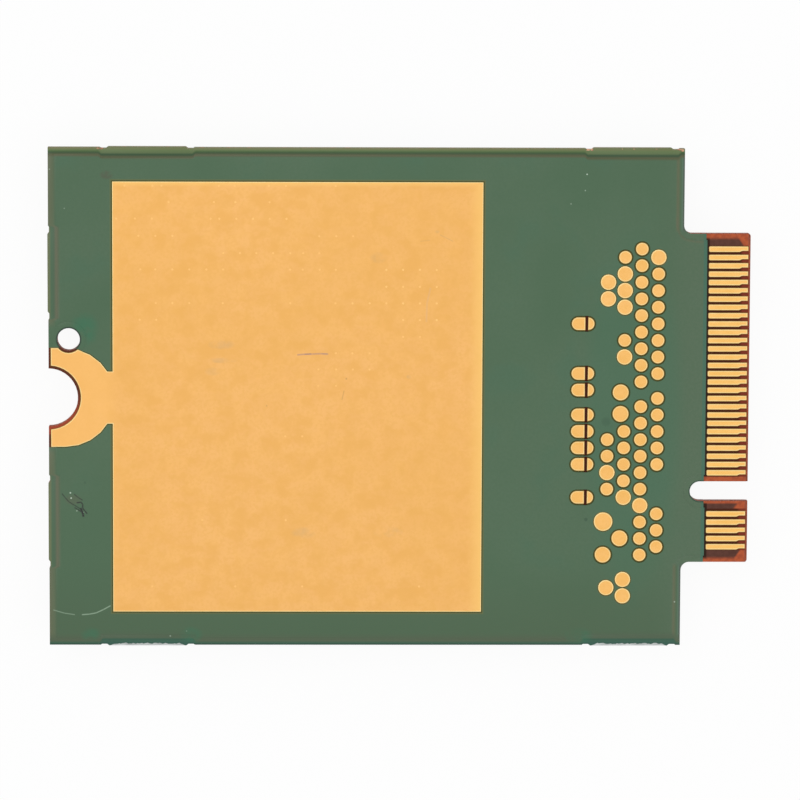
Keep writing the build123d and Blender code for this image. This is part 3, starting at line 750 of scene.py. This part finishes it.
def mark_mask(look, green):
    """Clouds, scratches, a scribble and specks in the pad side's mask, and painted shade round its openings.
    """
    rim = look.window(look.x, mask_end - 0.15, mask_end + 0.1, 0.03)
    green = look.over(green, rim, lacquer(76, 114, 98), 0.8)
    uneven = look.ramp(look.noise(1.2, 4.0), 0.3, 0.62)
    for u, v, radius_x, radius_y, share in green_clouds:
        patch = look.product(look.blob(*photo_place(u, v), radius_x, radius_y, 1.0), uneven)
        green = look.over(green, patch, lacquer(66, 118, 92), share)
    probe_area = look.blob(14.0, -1.0, 3.4, 12.0, 0.6)
    green = look.over(green, probe_area, lacquer(78, 116, 94), 0.35)
    bend = look.stroke(photo_line(shoulder_bend), 0.05, 0.09)
    green = look.over(green, bend, lacquer(106, 109, 88), 0.7)
    green = shade_openings(look, green)
    smudge = look.blob(*photo_place(106, 176), 0.45, 0.32, 0.9)
    smudge = look.product(smudge, look.ramp(look.noise(5.0, 3.0), 0.3, 0.55))
    green = look.over(green, smudge, lacquer(92, 101, 84), 0.9)
    grey = look.blob(*photo_place(73, 500), 0.6, 0.4, 0.9)
    green = look.over(green, grey, lacquer(98, 104, 86), 0.5)
    for points, half_width, share in pale_scratches:
        line = look.stroke(photo_line(points), half_width, 0.03)
        green = look.over(green, line, lacquer(160, 184, 160), share)
    for points, half_width in scribble:
        line = look.stroke(photo_line(points), half_width, 0.035)
        green = look.mix(line, green, lacquer(44, 50, 46))
    for spots, colour in ((dark_specks, lacquer(62, 84, 70)), (pale_specks, lacquer(196, 214, 196))):
        for u, v, radius, share in spots:
            speck = look.blob(*photo_place(u, v), radius, radius, 0.9)
            green = look.over(green, speck, colour, share)
    return green


def shade_openings(look, green):
    """Painted shade of the mask's edges round the tooling hole, the key slot, the ground pad and its probe
    pads.
    """
    x, y, radius = tooling_hole
    around = look.window(look.reach(x, y), radius - 0.1, radius + 0.08, 0.05)
    green = look.mix(around, green, lacquer(48, 72, 64))
    around = look.window(look.reach(*key_slot_middle, True), key_slot_half - 0.1, key_slot_half + 0.07, 0.04)
    green = look.over(green, around, lacquer(56, 80, 68), 0.9)
    corners = [corner for corner in loops_at("ground_pad", copper_top)[0] if corner[1] > 10]
    left, right = min(corners)[0], max(corners)[0]
    for width, colour in ((0.12, lacquer(102, 113, 81)), (0.05, lacquer(96, 94, 58))):
        beside_pad = look.product(
            look.window(look.x, left - width, right + width, 0.03),
            look.window(look.y, -pad_side - width, pad_side + width, 0.03))
        green = look.over(green, beside_pad, colour, 0.9)
    for loop in loops_at("ground_test_pads", copper_top):
        low, high = min(loop), max(loop)
        x, radius = (low[0] + high[0]) / 2, (high[0] - low[0]) / 2
        y = sum(corner[1] for corner in loop) / len(loop)
        around = look.window(look.reach(x, y), radius - 0.1, radius + 0.04, 0.03)
        green = look.mix(around, green, lacquer(98, 93, 52))
    return green


def painted_shade_rim_look(name, colour):
    """Painted shade: the thin dark edge where the mask ends at an opening."""
    look = Look(name, 0.5, specular=0.1)
    spread = look.ramp(look.noise(3.0, 3.0), 0.35, 0.65)
    look.colour(look.over(colour, spread, srgb(84, 74, 38), 0.35))
    look.bump(look.noise(9.0, 3.0), 0.003, 0.4)
    return look.material


def gold_look(name, marks=False, warm=(250, 194, 114)):
    """Satin gold plating with faint clouding and a fine grain."""
    look = Look(name, 0.36, 1.0)
    red, green, blue = warm
    deep = metal(red - 4, green - 5, blue - 7)
    cloud = look.ramp(look.noise(0.9, 8.0), 0.38, 0.62)
    gold = look.mix(cloud, deep, metal(red + 2, green + 2, blue + 3))
    drift = look.ramp(look.noise(1.5, 6.0, (0.7, 1.0, 1.0)), 0.40, 0.60)
    gold = look.over(gold, drift, metal(red + 3, green + 3, blue + 9), 0.5)
    grain = look.ramp(look.noise(5.5, 4.0), 0.42, 0.66)
    gold = look.over(gold, grain, deep, 0.55)
    wide = look.ramp(look.noise(0.12, 2.0), 0.38, 0.62)
    gold = look.over(gold, wide, metal(red - 7, green - 7, blue - 14), 0.25)
    if marks:
        gold = mark_gold(look, gold)
    look.colour(gold)
    look.bump(look.noise(7.0, 6.0), 0.004, 0.35)
    look.roughness(look.noise(1.3, 5.0), 0.30, 0.44)
    return look.material


def mark_gold(look, gold):
    """Grey smudges and fine scratches on the ground pad, and its brighter edges."""
    right = look.ramp(look.x, pad_end - 1.0, pad_end)
    bright = look.math("MAXIMUM", right, look.ramp(look.y, pad_side - 0.4, pad_side))
    gold = look.over(gold, bright, metal(253, 202, 118), 0.8)
    ring = look.ramp(look.x, neck + 0.4, neck - 0.6)
    gold = look.over(gold, ring, metal(254, 196, 117), 0.5)
    patch = look.ramp(look.noise(1.2, 5.0), 0.34, 0.60)
    for u, v, radius_x, radius_y, share in gold_smudges:
        oval = look.product(look.blob(*photo_place(u, v), radius_x, radius_y, 0.9), patch)
        gold = look.over(gold, oval, metal(206, 172, 128), share)
    for points, half_width, share, colour in gold_scratches:
        line = look.stroke(photo_line(points), half_width, 0.03)
        gold = look.over(gold, line, metal(*colour), share)
    return gold


def laminate_look():
    """Glass and resin laminate: red-brown where it is bare, with a copper plane showing through, and painted
    shade in the gaps round the round probe pads.
    """
    look = Look("laminate", 0.55, specular=0.12)
    layers = look.noise(3.0, 4.0, (1.0, 1.0, 9.0))
    wall = look.mix(look.ramp(layers, 0.35, 0.65), srgb(112, 54, 34), srgb(168, 80, 48))
    upper = look.ramp(look.y, card_side - 0.35, card_side - 0.1)
    olive = look.mix(look.ramp(look.noise(2.4, 3.0), 0.45, 0.68), srgb(112, 118, 82), srgb(150, 112, 78))
    wall = look.mix(upper, wall, olive)

    # upper face: bare border of the tongue, copper plane, gaps beside the gold, slits and ring
    weave = look.ramp(look.noise(4.0, 3.0), 0.35, 0.65)
    bare = look.mix(weave, srgb(160, 76, 48), srgb(180, 88, 52))
    outer = look.ramp(look.x, tip - 0.22, tip - 0.06)
    bare = look.mix(outer, bare, srgb(140, 82, 68))
    slant = look.math("ADD", look.x, look.share(look.math("ABSOLUTE", look.y), 0.7))
    deep = look.ramp(slant, tip + 6.1, tip + 5.95)
    span = look.window(look.y, -tongue_half + 0.24, tongue_half - 0.28, 0.13)
    past_key = look.window(look.y, key_slot_y - key_slot_half - 0.14, key_slot_y + key_slot_half + 0.3, 0.07)
    beside = look.product(look.ramp(look.x, key_slot_start - 0.3, key_slot_start - 0.2), past_key)
    off_slot = look.outside(beside)
    below_slot = look.window(look.y, key_slot_y - 1.06, key_slot_y - 0.5, 0.04)
    past_plane = look.product(below_slot, look.ramp(slant, tip + 3.72, tip + 3.95))
    plane = look.product(deep, span, off_slot, look.outside(past_plane))
    bare = look.mix(plane, bare, look.mix(weave, srgb(84, 52, 42), srgb(92, 58, 48)))
    among = look.product(look.window(look.y, -9.2, 9.2, 0.04), off_slot, look.outside(below_slot))
    gap = look.gradient(look.x, (
        (tip - 2.5, srgb(66, 26, 6)), (tip - 0.62, srgb(72, 28, 8)), (tip - 0.45, srgb(122, 48, 30))))
    bare = look.mix(among, bare, gap)
    mask_line = look.window(look.x, mask_end - 0.1, contact_start + 0.06, 0.04)
    bare = look.mix(look.product(mask_line, span, off_slot), bare, srgb(46, 26, 16))
    # Painted shade: the laminate in the gaps round the round probe pads is coloured dark olive.
    round_pad_gap_shade = look.window(look.x, 8.0, mask_end - 0.3, 0.1)
    bare = look.mix(round_pad_gap_shade, bare, srgb(84, 88, 46))
    slit = look.window(look.x, slit_middle - slit_half, slit_middle + slit_half, 0.02)
    bare = look.mix(slit, bare, srgb(62, 20, 6))
    ring = look.ramp(look.x, neck, neck - 0.5)
    in_notch = look.ramp(look.reach(mount_end, 0.0), 2.35, 2.1)
    lit = look.product(look.ramp(look.y, 0.6, -1.6), in_notch)
    bare = look.mix(ring, bare, look.mix(lit, srgb(92, 48, 30), srgb(160, 70, 46)))

    # pale fibres where tabs were broken off the lower edge
    pale = look.math("MAXIMUM", *(look.window(look.x, start, end, 0.1) for start, end in worn_stretches))
    pale = look.product(pale, look.ramp(look.y, -card_side + 0.5, -card_side + 0.3))
    fibre = look.mix(look.noise(4.0, 4.0, (0.35, 2.0, 1.0)), srgb(120, 128, 124), srgb(238, 240, 240))
    top = look.ramp(look.z, laminate_top - 0.02, laminate_top - 0.004)
    face = look.mix(pale, bare, fibre)
    look.colour(look.mix(top, look.over(wall, pale, fibre, 0.5), face))
    look.bump(look.noise(8.0, 4.0), 0.01, 0.6)
    return look.material


def grained_look(name, first, second, roughness, metallic, scale, stretch=even, relief=0.004):
    """A plain finish with clouding, grain and a fine relief."""
    look = Look(name, roughness, metallic)
    cloud = look.ramp(look.noise(scale, 5.0, stretch), 0.3, 0.7)
    grain = look.ramp(look.noise(scale * 7, 3.0, stretch), 0.3, 0.7)
    look.colour(look.over(look.mix(cloud, first, second), grain, first, 0.4))
    look.bump(look.noise(scale * 5, 4.0, stretch), relief, 0.5)
    look.roughness(cloud, roughness * 0.85, min(1.0, roughness * 1.15))
    return look.material


def finishes():
    """One material for each kind of surface that keeps its CAD mesh."""
    looks = {
        "laminate": laminate_look(),
        "solder_mask": mask_look("component_side_mask", False),
        "gold_plating": gold_look("gold_plating"),
    }
    for slot, (first, second, *numbers) in hidden_finishes.items():
        looks[slot] = grained_look(slot, srgb(*first), srgb(*second), *numbers)
    return looks


def dress_nodes():
    """Gives every node that keeps its CAD mesh the look of its slot."""
    looks = finishes()
    for part in frame["record"]["subparts"]:
        mesh = frame["nodes"][part["node"]].data
        mesh.materials.clear()
        mesh.materials.append(looks[part["material_slot"]])


# Pad side

def at_ground_opening(point):
    """Whether a place on the mask's outline lies on the opening over the ground pad and ring."""
    x, y, radius = tooling_hole
    if math.dist(point, (x, y)) < radius + 0.6:
        return False
    near_pad = neck - 0.3 < point.x < pad_end + 0.1 and abs(point.y) < pad_side + 0.1
    near_ring = point.x < neck + 0.2 and abs(point.y) < ring_reach
    return near_pad or near_ring


def solder_mask():
    """Film over the card's borders, and a thicker layer that steps up over the buried copper."""
    green = mask_look("pad_side_mask", True)
    # painted shade: the dark material on the mask's sides at its openings and where it meets the ground pad
    dark = painted_shade_rim_look("opening_edge_painted_shade", srgb(70, 80, 44))
    bm = bmesh.new()
    borders = [worn(loop) for loop in loops_at("pad_side_solder_mask", film_top)]
    add_shell(
        bm, borders,
        ((0, laminate_top), (0, film_top - film_round_down), (film_round_in, film_top)),
        lambda middle, band: 0,
    )
    raised = loops_at("pad_side_solder_mask", mask_top)
    outer = max(raised, key=len)
    openings = [rounded(loop) for loop in raised if loop is not outer]
    add_layered_mask(bm, without_steps(outer), openings)
    return piece_from(bm, "solder_mask_film", (green, dark), ("pad_side_solder_mask",))


def add_layered_mask(bm, outer, openings):
    """The thick layer; its outer edge slopes down to the film, and its openings have steep edges."""
    flank = (
        (-pour_flank, laminate_top),
        (-pour_flank, film_top - 0.004),
        (-pour_flank / 3, film_top + flank_lift),
        (0.0, mask_top - 0.004),
        (pour_flank / 2, mask_top),
    )
    edge = (
        (0.0, laminate_top),
        (0.0, mask_top - opening_steep),
        (opening_round / 3, mask_top - 0.005),
        (opening_round, mask_top),
    )
    ends = [add_sides(bm, outer, flank, lambda middle, band: int(at_ground_opening(middle)))]
    ends += [add_sides(bm, loop, edge, lambda middle, band: 1) for loop in openings]
    cap(bm, [top for _, top in ends], True)
    cap(bm, [bottom for bottom, _ in ends], False)


def plating_profile(rim):
    """(inset, height) pairs up a gold edge, with a flat rim at the top."""
    return (
        (0, laminate_top),
        (0, copper_top - plating_round_down),
        (plating_round / 3, copper_top - plating_round_down / 4),
        (plating_round, copper_top),
        (plating_round + rim, copper_top),
    )


def plated(name, node, loops, golds, rim=plating_rim, pits=()):
    """Gold pieces with a rounded edge and a band just inside it, each with a material of its own: painted
    highlight on the band, and painted shade on the edge unless the highlight is given for it too.
    """
    bm = bmesh.new()
    last = len(plating_profile(rim)) - 2
    add_shell(bm, loops, plating_profile(rim), lambda middle, band: 1 if band == last else 2, pits)
    return piece_from(bm, name, golds, (node,))


def dimples():
    """Places over the vias with the material number of each."""
    for rows, slot in ((clear_dimples, 3), (faint_dimples, 4)):
        for v, columns in rows:
            for u in columns:
                yield (*photo_place(u, v), slot)


def contact_radius(corner):
    """Rounding of a contact's corner: only the inner end is rounded."""
    return contact_corner if corner.x < contact_start + 0.01 else 0.0


def gold_pieces():
    """Plating of the ground pad, the probe pads, the split pads and the contacts."""
    plain = gold_look("gold_pads")
    marked = gold_look("ground_gold", True, (245, 187, 110))
    fingers = gold_look("contact_gold", False, (253, 199, 114))
    # A painted highlight for the band inside the gold edges, and painted shade for the rounded edges; the
    # grounded probe pads take the highlight on both.
    bright = grained_look("gold_edge_painted_highlight", metal(255, 218, 146), metal(255, 226, 162), 0.3, 1.0, 3.0)
    painted_shade_gold = grained_look("gold_side_painted_shade", metal(150, 116, 62), metal(176, 138, 78), 0.4, 1.0, 3.0)
    pit = grained_look("gold_dimple", metal(255, 200, 122), metal(255, 206, 130), 0.34, 1.0, 3.0)
    faint_pit = grained_look("gold_faint_dimple", metal(253, 197, 119), metal(255, 201, 125), 0.34, 1.0, 3.0)
    pad_loops = loops_at("ground_pad", copper_top)
    plated("ground_plating", "ground_pad", pad_loops, (marked, bright, painted_shade_gold, pit, faint_pit), pits=dimples())
    for name, node, side in (
            ("probe_pad_plating", "test_pads", painted_shade_gold),
            ("ground_probe_plating", "ground_test_pads", bright),
            ("split_pad_plating", "split_pads", painted_shade_gold)):
        loops = [rounded(without_steps(loop)) for loop in loops_at(node, copper_top)]
        plated(name, node, loops, (plain, bright, side))
    strips = [filleted(loop, contact_radius) for loop in loops_at("even_contacts", copper_top)]
    plated("contact_plating", "even_contacts", strips, (fingers, bright, painted_shade_gold), rim=contact_rim)


def burrs():
    """Crumbs of resin and glass left on the upper edge by the broken tabs."""
    look = Look("tab_crumbs", 0.7)
    crumb = look.ramp(look.noise(4.0, 4.0), 0.4, 0.6)
    look.colour(look.mix(crumb, srgb(150, 108, 82), srgb(206, 160, 128)))
    look.bump(look.noise(12.0, 4.0), 0.02, 0.8)
    bm = bmesh.new()
    for x, reach, across in crumb_spots:
        made = bmesh.ops.create_icosphere(bm, subdivisions=2, radius=1.0)
        for vertex in made["verts"]:
            rough = 1 + crumb_unevenness * (dice.random() - 0.5)
            vertex.co.x = (x + vertex.co.x * reach * rough) * MM
            vertex.co.y = (card_side - 0.02 - across * 1.2 + vertex.co.y * across * rough) * MM
            vertex.co.z = (film_top - crumb_sunk + vertex.co.z * crumb_half_height * rough) * MM
    return piece_from(bm, "tab_crumbs", (look.material,))


# Studio

def floor():
    """Pale floor that shows white around the card and keeps the card's shadow."""
    far = floor_reach
    mesh = bpy.data.meshes.new("floor")
    mesh.from_pydata([(-far, -far, 0), (far, -far, 0), (far, far, 0), (-far, far, 0)], [], [(0, 1, 2, 3)])
    sheet = placed("floor", mesh)
    material = bpy.data.materials.new("floor")
    material.use_nodes = True
    nodes, links = material.node_tree.nodes, material.node_tree.links
    shader = nodes["Principled BSDF"]
    shader.inputs["Base Color"].default_value = (floor_tone, floor_tone, floor_tone, 1)
    shader.inputs["Roughness"].default_value = 0.9
    shader.inputs["Specular IOR Level"].default_value = 0.1
    glow = nodes.new("ShaderNodeEmission")
    blend = nodes.new("ShaderNodeMixShader")
    links.new(seen_directly(nodes, links, floor_glow), blend.inputs["Fac"])
    links.new(shader.outputs["BSDF"], blend.inputs[1])
    links.new(glow.outputs["Emission"], blend.inputs[2])
    links.new(blend.outputs["Shader"], nodes["Material Output"].inputs["Surface"])
    mesh.materials.append(material)


def seen_directly(nodes, links, strength):
    """The given strength for camera, glossy and transmission rays, and none for other rays."""
    path = nodes.new("ShaderNodeLightPath")
    either = path.outputs["Is Camera Ray"]
    for name in ("Is Glossy Ray", "Is Transmission Ray"):
        node = nodes.new("ShaderNodeMath")
        node.operation = "MAXIMUM"
        links.new(either, node.inputs[0])
        links.new(path.outputs[name], node.inputs[1])
        either = node.outputs[0]
    scaled = nodes.new("ShaderNodeMath")
    scaled.operation = "MULTIPLY"
    links.new(either, scaled.inputs[0])
    scaled.inputs[1].default_value = strength
    return scaled.outputs[0]


def world():
    """Even white surroundings: plain light on the card, full white where they are seen."""
    room = bpy.data.worlds.new("studio")
    room.use_nodes = True
    bpy.context.scene.world = room
    nodes, links = room.node_tree.nodes, room.node_tree.links
    background = nodes["Background"]
    background.inputs["Color"].default_value = (1, 1, 1, 1)
    add = nodes.new("ShaderNodeMath")
    add.operation = "ADD"
    links.new(seen_directly(nodes, links, 1.0 - room_level), add.inputs[0])
    add.inputs[1].default_value = room_level
    links.new(add.outputs[0], background.inputs["Strength"])


def soft_light(name, place, size, power):
    """Square lamp that shines at the card."""
    lamp = bpy.data.lights.new(name, "AREA")
    lamp.shape = "SQUARE"
    lamp.size = size
    lamp.energy = power
    light = placed(name, lamp)
    light.location = place
    light.rotation_euler = (-Vector(place)).to_track_quat("-Z", "Y").to_euler()


def camera():
    """Looks almost straight down on the pad side, from a little beyond its upper edge."""
    place = Vector(camera_place) * MM
    back = Vector(camera_back).normalized()
    up = Vector(camera_up).normalized()
    right = up.cross(back).normalized()
    up = back.cross(right)
    data = bpy.data.cameras.new("camera")
    data.sensor_width = 36.0
    data.lens = camera_lens
    data.clip_start = 0.005
    data.clip_end = 20.0
    view = placed("camera", data)
    turn = Matrix((right, up, back)).transposed().to_4x4()
    view.matrix_world = Matrix.Translation(place) @ turn
    bpy.context.scene.camera = view


dress_nodes()
solder_mask()
gold_pieces()
burrs()
floor()
world()
for lamp in lamps:
    soft_light(*lamp)
camera()
bpy.context.scene.view_settings.view_transform = "Standard"
